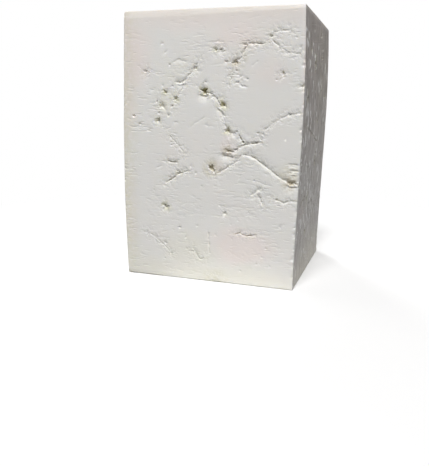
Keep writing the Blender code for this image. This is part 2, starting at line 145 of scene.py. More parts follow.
# Finer marks of the cut face, which the solid leaves out.
FINE_CRACKS = [Crack(*row) for row in (
    (1.1, 0.8, 0.10, 0.16, [(-23.3, 111.5), (-21.3, 113.3)]),
    (1.1, 1.6, 0.11, 0.20, [(-21, 106), (-18.6, 107.9), (-15, 108.6), (-12.6, 107.8), (-10.5, 108)]),
    (1.1, 0.9, 0.12, 0.24, [(-31.5, 95.3), (-28, 94.5)]),
    (1.0, 0.8, 0.11, 0.20, [(-23.5, 78), (-24, 76.8)]),
    (1.1, 0.7, 0.11, 0.20, [(-32.6, 75.3), (-30, 75.1)]),
    (1.0, 0.9, 0.09, 0.14, [(-10, 76.8), (-7.5, 79.2), (-4.5, 80.8), (-1, 82.8)]),
    (1.0, 0.7, 0.08, 0.10, [(-4, 79), (0, 78.4), (3, 78)]),
    (1.0, 0.7, 0.08, 0.10, [(-10, 97), (-5, 96.5)]),
    (1.1, 0.8, 0.12, 0.24, [(14, 107.5), (17.5, 107.5)]),
    (1.0, 0.9, 0.10, 0.18, [(19.8, 105.3), (21.5, 106.5), (23.5, 108)]),
    (1.0, 0.9, 0.11, 0.20, [(12.8, 98), (16, 96.4), (18.6, 96)]),
    (1.0, 0.8, 0.11, 0.20, [(11.4, 101.6), (16.4, 101)]),
    (1.0, 0.6, 0.11, 0.20, [(6.5, 90), (6.3, 94)]),
    (1.0, 1.6, 0.11, 0.20, [(4, 86), (6.4, 83.8), (8, 81)]),
    (1.0, 0.8, 0.09, 0.14, [(-27.5, 57), (-25, 58), (-23.5, 58.5)]),
    (1.0, 0.7, 0.10, 0.16, [(-10, 58.8), (-7, 58.6)]),
    (1.0, 0.8, 0.10, 0.16, [(-13.5, 33), (-11.8, 33.7)]),
    (1.0, 0.7, 0.10, 0.16, [(-12, 16.3), (-9, 17.5)]),
    (1.0, 0.8, 0.14, 0.5, [(0.3, 27.5), (0.6, 20.5), (1.2, 15)]),
    (1.1, 0.7, 0.12, 0.24, [(16.4, 56.5), (15.9, 54), (15, 53)]),
    (0.9, 0.7, 0.08, 0.10, [(5, 39.9), (12, 40.1), (20, 39.8)]),
    (0.9, 0.7, 0.09, 0.12, [(-18, 79.6), (-15.5, 79.4)]),
    (1.1, 2.1, 0.12, 0.24, [(-10.6, 103.6), (-7.6, 104.4), (-5, 103.8)]),
    (1.1, 2.5, 0.13, 0.28, [(6.4, 65.4), (9.4, 65.4), (13, 64.6)]),
    (1.0, 1.5, 0.11, 0.20, [(9, 75.6), (12, 75), (14.4, 74.4)]),
    (1.0, 1.0, 0.10, 0.16, [(2.2, 111.6), (7.5, 111.8)]),
    (1.0, 1.1, 0.11, 0.20, [(-1, 90.9), (1.5, 91.3), (3.6, 90)]),
    (1.0, 1.1, 0.11, 0.20, [(-15.6, 96.8), (-12.8, 96.9)]),
    (1.0, 0.8, 0.10, 0.16, [(-28, 79), (-24.6, 78.8)]),
    (1.0, 0.8, 0.09, 0.14, [(2.8, 50), (4.6, 49.6)]),
    (1.0, 0.9, 0.10, 0.18, [(37.6, 84.4), (40.6, 83.4)]),
    (1.0, 1.0, 0.11, 0.20, [(39.6, 61.2), (43.8, 60.4)]),
    (1.0, 1.0, 0.11, 0.20, [(39.4, 58), (43.6, 57.4)]),
    (1.0, 0.9, 0.11, 0.20, [(21.4, 44.6), (25.4, 45.6)]),
    (1.0, 0.8, 0.09, 0.12, [(23, 53.9), (29, 51.6), (33, 51.2)]),
    (1.0, 0.8, 0.09, 0.14, [(-17, 5), (-12.6, 4.2)]),
)]

# Scoops of the cut face, whose lower slopes catch the light, and dents, whose upper slopes lie in shade.
SCOOPS = [Crack(*row) for row in (
    (0.8, 3.8, 0.9, 0, [(-4.8, 92.6), (-2.6, 92.2), (-0.4, 92.4)]),
    (0.5, 2.6, 0.5, 0, [(3.4, 87), (5.6, 85.4), (8.4, 82.6)]),
    (1.6, 4.4, 1.0, 0, [(5.8, 64.9), (9.6, 64.6), (13, 63.4)]),
    (0.8, 3.2, 0.56, 0, [(8.6, 75.2), (11.4, 75.6), (14.4, 74.8)]),
    (0.5, 1.6, 0.30, 0, [(10.8, 107), (12.8, 105.9), (15, 107.6)]),
    (0.5, 2.0, 0.30, 0, [(-9.8, 102.6), (-7.4, 104.2), (-4.6, 103.2)]),
    (0.5, 1.6, 0.32, 0, [(-28.6, 79.8), (-24.6, 79.3)]),
    (0.5, 1.8, 0.30, 0, [(-24.7, 36.9), (-20.1, 36.3)]),
    (0.4, 1.8, 0.28, 0, [(1.2, 56.8), (4.2, 55.2)]),
    (0.6, 3.2, 0.62, 0, [(38.4, 52), (41.5, 51), (45, 51.4)]),
    (0.6, 1.6, 0.32, 0.2, [(39.4, 61.9), (42, 62), (45, 61.3)]),
    (0.6, 1.7, 0.34, 0.2, [(40, 59.1), (42.5, 59), (45, 58.4)]),
    (0.5, 1.3, 0.28, 0, [(41.4, 56.7), (45, 56.3)]),
    (0.5, 1.4, 0.24, 0.2, [(12.6, 98.3), (15.6, 97), (18.8, 96.2)]),
    (0.5, 1.6, 0.34, 0, [(-16.8, 97.3), (-14.2, 96.7), (-12, 97.2)]),
    (0.6, 1.7, 0.24, 0.1, [(-18.8, 107.5), (-15.6, 108.8), (-12.4, 107.6)]),
    (0.4, 1.2, 0.24, 0, [(1.8, 111.6), (5, 112), (8.2, 111.8)]),
    (0.4, 1.1, 0.18, 0, [(32.8, 98.8), (35.4, 100.9), (37, 100.9)]),
    (0.5, 1.4, 0.18, 0, [(-35.4, 102.7), (-31.2, 102.2)]),
    (0.4, 1.0, 0.16, 0, [(27.4, 57.3), (31.2, 56.6)]),
    (0.5, 1.2, 0.20, 0.1, [(4.2, 56.8), (6.4, 57.4), (8.4, 58.9)]),
    (0.6, 1.8, 0.30, 0.2, [(0.2, 91.9), (2, 92), (4, 90.4)]),
    (0.5, 1.3, 0.20, 0, [(-38.6, 77.4), (-34.8, 77.6)]),
    (0.5, 1.2, 0.20, 0, [(17, 113), (18.2, 113.8)]),
    (3.0, 0.6, 0.52, 0.3, [(-17.4, 98.3), (-14.4, 98.2), (-12.2, 99.8)]),
    (2.4, 0.6, 0.42, 0.4, [(-9.2, 104.4), (-6, 104.5)]),
    (1.8, 0.5, 0.22, 0.1, [(-19.6, 68.8), (-17, 69.2)]),
    (1.8, 0.6, 0.18, 0, [(-40.4, 76.8), (-34.6, 77.2)]),
    (1.6, 0.6, 0.20, 0.1, [(21.6, 46.8), (25.4, 48.4)]),
    (1.6, 0.6, 0.16, 0.1, [(6.6, 107), (9.4, 107.2)]),
)]

# Dots of the cut face: their places, and how wide and deep they are.
DOTS = [
    (-24.5, 116, 0.7), (-24, 96.8, 0.7), (-18.8, 96.5, 0.8), (-27, 89.5, 0.8), (-19, 87, 0.8),
    (-21, 83, 0.9), (-26, 84, 0.7), (-39.5, 82.3, 1.1), (-36.3, 78.4, 1.2), (-19, 70, 0.8),
    (-19.2, 68.6, 0.7), (-2, 98.3, 0.7), (-3, 98, 0.6), (4, 116.5, 0.6), (8, 107.7, 1.2),
    (41, 117.5, 0.6), (43, 113.5, 0.6), (13, 103.5, 0.7), (15, 101, 0.7), (18, 99.8, 0.8),
    (13.5, 98.3, 0.8), (32.3, 99.4, 0.7), (39, 84.2, 0.9), (24.2, 75.5, 0.8), (25.8, 72.8, 0.8),
    (23.5, 71.2, 0.8), (21.5, 70.6, 0.7), (19.5, 70.8, 0.7), (13.8, 75.8, 0.9), (13.5, 67.5, 0.8),
    (37.5, 72.5, 0.45), (-16, 56.3, 0.7), (-6.2, 55.5, 0.7), (-28.8, 46.3, 0.6), (-15, 27.5, 0.7),
    (-5.5, 28.8, 0.6), (-11.5, 22.5, 0.6), (-22.7, 18.6, 1.1), (-20, 13.2, 0.8), (-23.5, 10.2, 0.7),
    (4.2, 25.3, 0.6), (23.2, 53.7, 0.8), (26.5, 45.3, 0.7), (27.3, 43.5, 0.6), (30.5, 40.5, 0.6),
    (21, 37.7, 0.6), (15.7, 33.3, 0.6), (12, 31, 0.5), (37, 31.7, 0.6), (30.5, 20.3, 0.7),
    (28.5, 15.7, 0.7), (33, 11.5, 0.7), (26, 12, 0.6), (17.5, 7.8, 0.7), (6.3, 40.2, 0.6),
    (-20.4, 106.3, 0.8), (-9, 58.8, 0.6), (1.2, 15.4, 0.7), (0.6, 20.4, 0.6), (-3.4, 49.4, 0.5),
]

# Crumbly patches of the cut face.
FRONT_CRUMBLES = [Crumble(*row) for row in (
    (14, 99.5, 5.5, 5, 0.35), (-24, 49.5, 3, 1.6, 0.3), (41.6, 58.5, 2.8, 4, 0.35),
    (-17.5, 57, 4, 3.6, 0.3), (-29, 38, 6, 9, 0.14), (21, 36.5, 9, 6, 0.14),
    (6, 53, 4, 4, 0.22), (27, 46, 5, 4, 0.25), (-19, 91, 6, 7, 0.18),
    (11, 72, 4, 4.4, 0.3), (22, 73.6, 6, 3, 0.28), (-4, 13, 12, 9, 0.16),
    (24, 14, 12, 8, 0.12), (-15, 105, 6, 4, 0.2),
)]

# Each side's areas that are smooth, faintly pink, creamy and brown: their places, half widths and half
# heights, and how strong they are.
SMOOTH_AREAS = {
    "front": [
        (26, 89, 17, 16, 1), (-6, 86, 9, 9, 1), (-8, 68, 7, 9, 0.8), (33, 70, 11, 9, 0.8),
        (0, 124, 44, 6, 0.7), (-32, 120, 12, 10, 0.6), (28, 105, 10, 6, 0.6), (0, 104, 8, 5, 0.6),
        (-30, 64, 6, 6, 0.4),
    ],
    "right": [(0, 124, 60, 22, 0.9), (20, 76, 22, 14, 0.4)],
}
PINK_AREAS = {
    "front": [
        (0, 131, 60, 11, 1), (-44, 112, 15, 22, 1), (-45, 88, 7, 22, 0.8), (18, 19, 17, 10, 1),
        (30, 101, 8, 7, 0.5), (14, 119, 12, 8, 0.8), (10, 70, 4, 6, 0.5), (5, 58, 4, 3, 0.5),
        (0, 0, 60, 8, 0.6), (-46, 30, 7, 40, 0.5),
    ],
    "right": [(0, 105, 60, 40, 1), (-28, 36, 12, 5, 0.8), (0, 0, 50, 12, 0.8)],
}
CREAM_AREAS = {
    "front": [
        (0, 0, 60, 11, 1.1), (-9, 14, 17, 11, 0.9), (-46, 60, 6, 70, 0.7), (41, 56, 7, 6, 0.9),
        (-44, 10, 9, 14, 0.8), (0, 131, 60, 7, 0.4), (-22, 88, 7, 8, 0.4), (-17, 102, 8, 6, 0.4),
    ],
    "right": [(30, 90, 24, 26, 0.5), (0, 4, 50, 14, 1), (-28, 44, 14, 4, 0.8), (10, 20, 16, 10, 0.6)],
}
BROWN_AREAS = {
    "front": [
        (-46.5, 92, 6, 50, 0.3), (38.5, 56.8, 4.5, 2.4, 0.35), (5, 58.2, 3.4, 2.2, 0.35),
        (12, 65.6, 5, 1.8, 0.4), (15, 108.5, 2.2, 3.4, 0.4), (30, 120, 5, 2, 0.15),
        (-25, 51.5, 4, 2.2, 0.15), (41, 52.6, 3.6, 1.6, 0.6),
    ],
    "right": [(20, 100, 34, 26, 0.16), (6, 4, 46, 16, 0.45)],
}

# The cracks and pits of the right side, as the solid has them.
RIGHT_CRACKS = [Crack(*row) for row in (
    (1.4, 1.0, 0.2, 0.9, [(-31, 77.5), (-24, 76.2), (-16, 74.6), (-6, 72.4), (4, 69.4), (12, 69)]),
    (1.2, 0.9, 0.16, 0.8, [(21, 77.6), (28, 78.6), (36, 77.9)]),
    (1.2, 0.9, 0.16, 0.7, [(-27, 58.6), (-20, 57.4), (-13, 57.6)]),
)]
RIGHT_PITS = [Pit(*row) for row in (
    (-10.0, 108.0, 3.0, 1.0, 1.2, 1.6, 8), (15.0, 95.5, 2.8, 1.0, 1.2, 1.6, -6),
    (-31.0, 91.0, 2.4, 1.1, 1.3, 1.7, 0), (-14.0, 41.0, 2.6, 1.0, 1.2, 1.6, 5),
    (-13.0, 23.5, 2.4, 1.0, 1.2, 1.5, -4),
)]

# Flecks of the right side that catch the light: their places, half widths and half heights.
RIGHT_FLECKS = [
    (-13, 110, 0.9, 2.4), (-33.4, 92.5, 0.9, 2.4), (13, 97, 1.0, 2.2), (-27, 77, 0.8, 1.8),
    (-5, 72.6, 1.1, 1.4), (3, 70.2, 0.9, 1.8), (28, 79.4, 1.0, 1.7), (-27, 82, 0.8, 2.8),
    (-31, 70.6, 0.8, 2.8), (-22, 58.2, 1.1, 1.4), (-16.5, 44, 1.1, 1.8), (-1, 41, 1.1, 2.4),
    (-11, 31.2, 1.1, 1.4), (-15.6, 26.4, 0.9, 2.0), (4, 17, 0.9, 2.0), (15, 13, 0.9, 1.8),
    (-36, 114, 0.6, 1.8), (-18, 76, 0.8, 1.5), (-34, 84, 0.6, 2.2), (-15, 46, 0.9, 2.0),
    (-40.6, 62.4, 0.7, 0.9), (-38.8, 60.2, 0.8, 0.8), (-41, 58, 0.6, 0.8), (-39.4, 56, 0.7, 1.0),
    (-40.8, 49.8, 0.7, 0.8), (-40.4, 66.5, 0.5, 1.5), (-37, 27, 0.9, 0.9), (-40.6, 24.8, 0.6, 0.8),
    (-29.5, 106, 0.6, 2.6), (-24, 102, 0.5, 3.0), (-17, 96, 0.5, 3.2), (-8, 88, 0.5, 3.0),
    (36, 84, 0.7, 2.0),
]

# How far the marks of the cut face lie to the right of and below their places in the tables.
MARKS_RIGHT, MARKS_DOWN = 0.45, 1.3

# How far the listed flecks stand out, how far the skin itself is set back, and over what height a
# fleck's colour fades into the skin's.
FLECK_RISE = 0.42
SKIN_SINK = 0.15
FLECK_FADE = 0.08

# How strong the skin is on the sides other than the right one. On the right side it is at full strength,
# where its dark colour is painted shade as well as skin.
SKIN_AND_SHADE_ELSEWHERE = 0.28

# Cracks and pits drawn by chance: how many of each a side has, and the seed of its draw.
SCATTERED = {"right": (3, 8, 11), "back": (7, 12, 23), "left": (7, 12, 37), "top": (2, 5, 53)}

# Room that drawn cracks leave at a side's edges and round other cracks, and how far inside the edges each
# kind of drawn mark lies or starts.
EDGE_ROOM, CRACK_ROOM = 4, 7
CRACK_MARGIN, PIT_MARGIN, HAIRLINE_MARGIN, CRUMBLE_MARGIN, FINE_MARGIN = 8, 6, 5, 8, 2.5

# Finer marks drawn by chance: how many hairlines, dots, crumbly patches and flecks a side has.
FINE_SCATTERED = {
    "right": (12, 50, 7, 60), "back": (14, 50, 8, 30), "left": (14, 50, 8, 30), "top": (6, 26, 3, 0),
}

# Chips along the upright edges of the cut face: how many stand on the right and on the left edge, how far
# from the middle and up to what height, and the seed of their draw.
CHIP_COUNTS = ((1, 36), (-1, 18))
CHIP_PLACES = 44.3, 45.1
CHIP_TOP = 112
CHIP_SEED = 5

# How far apart a crack's widths change along its line, and how far apart the two noises of a drift lie.
KNOT_GAP = 0.9
DRIFT_GAP = 31.7

# Attributes of the block's points: how far they sank, how near marks and how stained and brown they are,
# how smooth, pink and creamy the curd is there, and where flecks (partly painted highlight) and the skin
# (partly painted shade) are.
LAYERS = ("hollow", "near", "stain", "brown", "smooth", "pink", "cream", "fleck", "skin")

# How near a face must be to be divided in each pass, to main marks, fine marks and crumbly patches, on the
# cut face and on the other sides.
REFINEMENTS = [
    ((1.0, 0.8, 0.3), (0.7, 0.3, None)),
    ((0.5, 0.3, 0.0), (0.3, None, None)),
    ((0.15, 0.0, None), (-0.1, None, None)),
]

# The least cosine of the angle between a face and the side that it is divided with.
FACING = 0.6

# How far under its top edge the cut face is divided finely, how deep under a side's outermost point its
# marks and its colours reach, and how high above the base the sides start to be uneven.
TOP_BAND = 4
MARK_REACH, COLOUR_REACH = 4, 1
EVEN_FOOT = 2

# Widths of the broad and of the fine unevenness of the sides.
SWELL_WIDTH, RIPPLE_WIDTH = 16, 3.5

# How far round and up the fill light stands, how the camera is turned, tilted down and rolled, and where it
# stands, in metres.
FILL_TURN, FILL_HEIGHT = radians(220), radians(16)
CAMERA_TURN, CAMERA_DOWN, CAMERA_ROLL = radians(17.95), radians(12.7), radians(0.925)
CAMERA_PLACE = (0.0856, -0.2942, 0.0848)

# Colours of the room's light, of the floor as it is seen, and of the far floor as it lights the block.
WHITE = (1, 1, 1, 1)
ROOM_LIGHT = (1.0, 0.975, 0.94, 1)
SEEN_FLOOR = (0.96, 0.96, 0.96, 1)
FAR_FLOOR = (0.2, 0.2, 0.2, 1)

# The floor's width, and how far out it starts and ends turning white and turning into the far floor. All in
# metres.
FLOOR_WIDTH = 8
WHITE_FROM, WHITE_TO = 0.08, 0.26
FAR_FROM, FAR_TO = 0.055, 0.085


def length_field(name, description, millimetres):
    """A property for a length."""
    return FloatProperty(name=name, description=description, default=millimetres * MM, unit="LENGTH")


def colour_field(name, description, *colour):
    """A property for a colour."""
    return FloatVectorProperty(name=name, description=description, default=(*colour, 1), size=4, min=0,
                               max=1, subtype="COLOR")


class CurdShape(bpy.types.PropertyGroup):
    """The form of the block."""

    left_bow: length_field("Left bow", "How far the left side bows out in its middle", 1.5)
    right_bow: length_field("Right bow", "How far the right side bows out near its top", 1.2)
    front_bow: length_field("Front bow", "How far the cut face bows out in its middle", 0.6)
    back_bow: length_field("Back bow", "How far the back bows out in its middle", 1.2)
    top_dome: length_field("Top dome", "How far the top's corners lie under its middle", 0.2)
    top_lean: length_field("Top lean", "How far the cut face leans back under its top edge", 0.34)
    top_round: length_field("Top rounding", "Rounding of the top edges of the two cut sides", 0.3)
    back_round: length_field("Back rounding", "Rounding of the moulded edges", 1.6)
    left_round: length_field("Left rounding", "Rounding of the left front edge", 1.2)
    cut_round: length_field("Cut rounding", "Rounding of the edge between the cut faces", 0.5)
    base_round: length_field("Base rounding", "Rounding of the edges round the base", 0.7)
    cell: length_field("Cell", "Size of the faces that the plain sides are divided into", 1.8)
    relief: FloatProperty(name="Relief", description="Scales the depth of every crack and pit",
                          default=1.0, subtype="FACTOR")
    ragged: length_field("Ragged lips", "How far the lips of the cracks stray", 0.28)
    swell: length_field("Swell", "Height of the broad unevenness of the sides", 0.25)
    ripple: length_field("Ripple", "Height of the fine unevenness of the sides", 0.06)


class CurdFinish(bpy.types.PropertyGroup):
    """The curd's colours and surface."""

    curd: colour_field("Curd", "Colour of the curd", 0.86, 0.85, 0.82)
    pink: colour_field("Pink patches", "Colour of the faintly pink patches", 0.895, 0.826, 0.790)
    cream: colour_field("Creamy patches", "Colour of the creamy patches", 0.865, 0.85, 0.775)
    # The skin's colour is darker than the curd's: partly the skin's own tone, partly painted shade,
    # strongest on the right side.
    skin_and_shade: colour_field("Skin", "Colour of the skin of the moulded sides", 0.47, 0.43, 0.40)
    # The flecks' colour is whiter than the curd: pale crumbs, and partly painted highlight for the bits
    # that catch the light.
    fleck_and_highlight: colour_field("Flecks", "Colour of the flecks in the skin", 0.96, 0.95, 0.93)
    stain: colour_field("Stain", "Colour of the curd that whey has stained", 0.72, 0.70, 0.50)
    rust: colour_field("Brown stain", "Colour of the brown stain in some hollows", 0.62, 0.56, 0.43)
    whey: colour_field("Whey", "Colour of the whey in the hollows", 0.50, 0.46, 0.27)
    roughness: FloatProperty(name="Roughness", description="Roughness of the cut curd", default=0.5,
                             min=0, max=1, subtype="FACTOR")
    translucency: FloatProperty(name="Translucency", description="How much light passes under the surface",
                                default=0.25, min=0, max=1, subtype="FACTOR")
    grain: length_field("Grain", "Height of the grain and the streaks of the knife", 0.045)
    nicks: length_field("Nicks", "Depth of the short level nicks in the cut face", 0.078)
    crumbs: length_field("Crumbs", "Height of the crumbs beside cracks and pits", 0.2)
    ridges: length_field("Ridges", "Height of the unevenness of the skin", 0.25)


class StageLook(bpy.types.PropertyGroup):
    """The floor, the lights and the camera."""

    floor: colour_field("Floor", "Colour of the floor", 0.62, 0.62, 0.62)
    key: FloatProperty(name="Key light", description="Power of the soft light", default=137.5,
                       unit="POWER")
    fill: FloatProperty(name="Fill light", description="Power of the soft light behind the block",
                        default=110, unit="POWER")
    key_width: FloatProperty(name="Key width", description="Width of the soft light", default=1.75,
                             unit="LENGTH")
    key_away: FloatProperty(name="Key distance", description="How far away the soft light stands",
                            default=3.5, unit="LENGTH")
    key_height: FloatProperty(name="Key elevation", description="How high the soft light stands",
                              default=radians(57), subtype="ANGLE")
    key_turn: FloatProperty(name="Key turn", description="How far the soft light stands to the right",
                            default=radians(9), subtype="ANGLE")
    ambient: FloatProperty(name="Ambient", description="Strength of the light from all round",
                           default=0.085, min=0)
    lens: FloatProperty(name="Lens", description="Focal length in millimetres", default=42.45, min=1)


def side_arrays(name):
    """The side's directions as arrays."""
    return [np.array(direction, float) for direction in SIDES[name]]


def reach_of(name):
    """Half the side's width, half its height, and how far up its middle lies."""
    along, up, _ = side_arrays(name)
    half_along, half_up = abs(SIZE @ along) / 2, abs(SIZE @ up) / 2
    return half_along, half_up, half_up if name != "top" else 0


def drawn_place(name, margin, rng):
    """A place on the side that far from its edges."""
    half_along, half_up, middle = reach_of(name)
    along = rng.uniform(margin - half_along, half_along - margin)
    return Vector((along, middle + rng.uniform(margin - half_up, half_up - margin)))


def drawn_crack(name, rng):
    """A crack with a wandering line that starts towards the side's middle."""
    line = [drawn_place(name, CRACK_MARGIN, rng)]
    heading = atan2(reach_of(name)[2] - line[0].y, -line[0].x) + rng.uniform(-1.2, 1.2)
    for _ in range(rng.randint(3, 5)):
        heading += rng.uniform(-0.6, 0.6)
        line.append(line[-1] + Vector((cos(heading), sin(heading))) * rng.uniform(3.0, 6.0))
    width = rng.uniform(0.5, 0.9)
    depth = rng.uniform(0.9, 1.7)
    return Crack(2 * width, 1.4 * width, 0.14 * depth, 0.6 * depth, line)


def drawn_pit(name, rng):
    """A pit of random size somewhere on the side."""
    place = drawn_place(name, PIT_MARGIN, rng)
    width = rng.uniform(0.9, 1.9)
    rise, depth = width * rng.uniform(0.6, 0.9), width * rng.uniform(1.0, 1.5)
    return Pit(place.x, place.y, width, rise, rise * 1.3, depth, rng.uniform(-40, 40))


def has_room(name, taken, crack):
    """Whether a drawn crack stays on the side and clear of the cracks that are there."""
    half_along, half_up, middle = reach_of(name)
    for along, up in crack.line:
        if abs(along) > half_along - EDGE_ROOM or abs(up - middle) > half_up - EDGE_ROOM:
            return False
        for other in taken:
            if any(hypot(along - x, up - z) < CRACK_ROOM for x, z in other.line):
                return False
    return True


def scatter(name, cracks=(), pits=()):
    """The side's own cracks and pits with the drawn ones added, as the solid has them."""
    crack_count, pit_count, seed = SCATTERED[name]
    rng = random.Random(seed)
    cracks, pits = list(cracks), list(pits)
    wanted = len(cracks) + crack_count
    while len(cracks) < wanted:
        drawn = drawn_crack(name, rng)
        if has_room(name, cracks, drawn):
            cracks.append(drawn)
    return cracks, pits + [drawn_pit(name, rng) for _ in range(pit_count)]


def scatter_fine(name):
    """Hairlines, dots, crumbly patches and flecks drawn by chance."""
    hairlines, dots, crumbly, flakes = FINE_SCATTERED[name]
    rng = random.Random(name)
    cracks, pits, crumbles, flecks = [], [], [], []
    for _ in range(hairlines):
        line = [drawn_place(name, HAIRLINE_MARGIN, rng)]
        heading = rng.gauss(0, 0.5)
        for _ in range(rng.randint(1, 3)):
            heading += rng.uniform(-0.7, 0.7)
            line.append(line[-1] + Vector((cos(heading), sin(heading))) * rng.uniform(1.5, 3.5))
        shelf, lip, sink = rng.uniform(0.8, 1.4), rng.uniform(0.5, 1.0), rng.uniform(0.06, 0.14)
        cracks.append(Crack(shelf, lip, sink, 0.2, line))
    for _ in range(dots):
        place, width = drawn_place(name, FINE_MARGIN, rng), rng.uniform(0.5, 1.0)
        pits.append(Pit(place.x, place.y, width, width * 0.7, width * 0.9, width, rng.uniform(-40, 40)))
    for _ in range(crumbly):
        place = drawn_place(name, CRUMBLE_MARGIN, rng)
        crumbles.append(Crumble(*place, rng.uniform(4, 10), rng.uniform(3, 7), rng.uniform(0.15, 0.35)))
    for _ in range(flakes):
        place = drawn_place(name, FINE_MARGIN, rng)
        flecks.append(Fleck(*place, rng.uniform(0.7, 1.3), rng.uniform(0.8, 2.6), rng.uniform(0.24, 0.4)))
    return cracks, pits, crumbles, flecks


def edge_chips():
    """Small chips along the two upright edges of the cut face, most of them along the right one."""
    rng = random.Random(CHIP_SEED)
    chips = []
    for side, count in CHIP_COUNTS:
        for _ in range(count):
            width = rng.uniform(0.35, 0.9)
            place, tall = side * rng.uniform(*CHIP_PLACES), width * rng.uniform(1.0, 2.4)
            up, depth = rng.uniform(1, CHIP_TOP), rng.uniform(0.15, 0.4)
            chips.append(Pit(place, up, width, tall, tall, depth, 0))
    return chips


def marks_of(name):
    """The side's marks: those that the solid has, the finer ones, the crumbly patches and the flecks."""
    if name == "front":
        dots = [Pit(x, z, width, width * 0.6, width * 0.9, width * 0.65, 0) for x, z, width in DOTS]
        fine = FINE_CRACKS + SCOOPS, dots + edge_chips()
        return (FRONT_CRACKS, [*FRONT_PITS, BASE_CHIP]), fine, FRONT_CRUMBLES, []
    own = scatter(name, RIGHT_CRACKS, RIGHT_PITS) if name == "right" else scatter(name)
    cracks, pits, crumbles, flecks = scatter_fine(name)
    if name == "right":
        flecks += [Fleck(*fleck, FLECK_RISE) for fleck in RIGHT_FLECKS]
    return own, (cracks, pits), crumbles, flecks


def from_line(points, line):
    """For each point: how far it is from the line, how far above it from -1 to 1, and where along it."""
    line = np.array(line, float)
    runs = np.diff(line, axis=0)
    lengths = np.hypot(*runs.T)
    nearest = np.full(len(points), np.inf)
    rise, passed = np.zeros(len(points)), np.zeros(len(points))
    for start, run, length, before in zip(line, runs, lengths, np.cumsum(lengths) - lengths):
        share = np.clip((points - start) @ run / length**2, 0, 1)
        gap = points - start - share[:, None] * run
        distance = np.hypot(*gap.T)
        aside = np.array((-run[1], run[0])) / length * (1 if run[0] >= 0 else -1)
        closer = distance < nearest
        nearest[closer] = distance[closer]
        rise[closer] = (gap @ aside / np.maximum(distance, 1e-6))[closer]
        passed[closer] = (before + share * length)[closer]
    return nearest, rise, passed, lengths.sum()


def crack_relief(points, crack):
    """How far each point lies outside the crack, and how deep the crack is there.

    The curd has sunk a little on both sides of the line, and a thin slit opens here and there along it.
    """
    nearest, rise, passed, total = from_line(points, crack.line)
    knots = np.arange(0, total + 2, KNOT_GAP)
    rng = np.random.default_rng(int(total * 1000))
    pinch = np.interp(passed, knots, rng.uniform(0.7, 1.2, len(knots)))
    gape = np.interp(passed, knots, rng.uniform(0.0, 1.0, len(knots)))
    fade = np.clip(np.minimum(passed, total - passed) / min(2.0, total / 3) + 0.15, 0, 1)
    above = np.clip(1 - nearest / (crack.shelf * pinch), 0, 1) ** 2
    under = np.clip(1 - nearest / (crack.lip * pinch), 0, 1) ** 1.3
    slope = under + (above - under) * np.clip(0.5 + 1.5 * rise, 0, 1)
    slit = crack.slit * gape * np.clip(1 - nearest / (0.22 + 0.25 * gape), 0, 1)
    return nearest - 0.35, fade * (crack.sink * pinch * slope + slit)


def pit_relief(points, pit):
    """How far each point lies outside the pit's star-shaped hole, and how deep the pit is there.

    The hole sits in a shallow bowl that reaches further down than up.
    """
    turn = radians(pit.tilt)
    gap = points - (pit.along, pit.up)
    across = gap @ (cos(turn), sin(turn)) / pit.half_width
    high = gap @ (-sin(turn), cos(turn))
    angle = np.arctan2(high / pit.rise, across)
    seed = pit.along + 7 * pit.up
    spikes = 0.72 + 0.2 * np.sin(3 * angle + seed) + 0.15 * np.sin(5 * angle + 2 * seed)
    radius = np.hypot(across, high / pit.rise) / (spikes + 0.08 * np.sin(8 * angle + 3 * seed))
    hole = pit.depth * np.clip(1 - radius, 0, 1) ** 0.7
    bowl = np.clip(1 - np.hypot(across / 1.5, high / np.where(high > 0, 1.4 * pit.rise, pit.fall)), 0, 1)
    return (radius - 1) * 0.6 * pit.rise, hole + (0.06 + 0.1 * pit.fall) * bowl**1.3


def crumble_relief(points, crumble):
    """How far each point lies outside the crumbly patch, and how far the patch has worn there."""
    gap = (points - (crumble.along, crumble.up)) / (crumble.half_width, crumble.half_height)
    radius = np.hypot(*gap.T)
    worn = np.zeros(len(points))
    for i in np.flatnonzero(radius < 1):
        x, z = points[i]
        rough = noise.fractal(Vector((x / 1.8, z / 0.8, 3.0)), 1.0, 2.0, 3)
        worn[i] = crumble.depth * max(rough + 0.25, 0) * (1 - radius[i] ** 2)
    return (radius - 1) * crumble.half_height, worn


def fleck_relief(points, fleck):
    """How far each point lies outside the fleck, and how high the fleck stands there.

    A fleck rises slowly from one side and ends steeply at the other.
    """
    across, high = ((points - (fleck.along, fleck.up)) / (fleck.half_width, fleck.half_height)).T
    wedge = np.clip(np.minimum((across + 1) / 0.9, (1 - across) / 1.1), 0, 1)
    gap = (np.maximum(np.abs(across), np.abs(high)) - 1) * fleck.half_width
    return gap, fleck.proud * wedge * np.clip(1.6 - 1.6 * np.abs(high), 0, 1)


def deepest(points, shapes, relief):
    """How far each point lies outside the nearest of the shapes, and how deep the deepest is there."""
    gap, depth = np.full(len(points), np.inf), np.zeros(len(points))
    for shape in shapes:
        if isinstance(shape, Crack):
            ends = np.array(shape.line, float)
            margin = shape.shelf + shape.lip + 2
        else:
            ends = np.array([(shape.along, shape.up)])
            margin = 2 * shape.half_width + 6
        near = ((points > ends.min(axis=0) - margin) & (points < ends.max(axis=0) + margin)).all(axis=1)
        if near.any():
            outside, deep = relief(points[near], shape)
            gap[near] = np.minimum(gap[near], outside)
            depth[near] = np.maximum(depth[near], deep)
    return gap, depth


def in_table(points, name):
    """Points of a side, moved to where the tables have them.

    Only those of the cut face move, and less near its upright edges and its foot.
    """
    if name != "front":
        return points
    x, z = points.T
    inward = np.clip(np.minimum((x + 44) / 5, (38 - x) / 15), 0, 1)
    upward = np.clip(0.3 + z / 60, 0, 1)
    return np.stack((x - MARKS_RIGHT * inward, z + MARKS_DOWN * upward), axis=1)


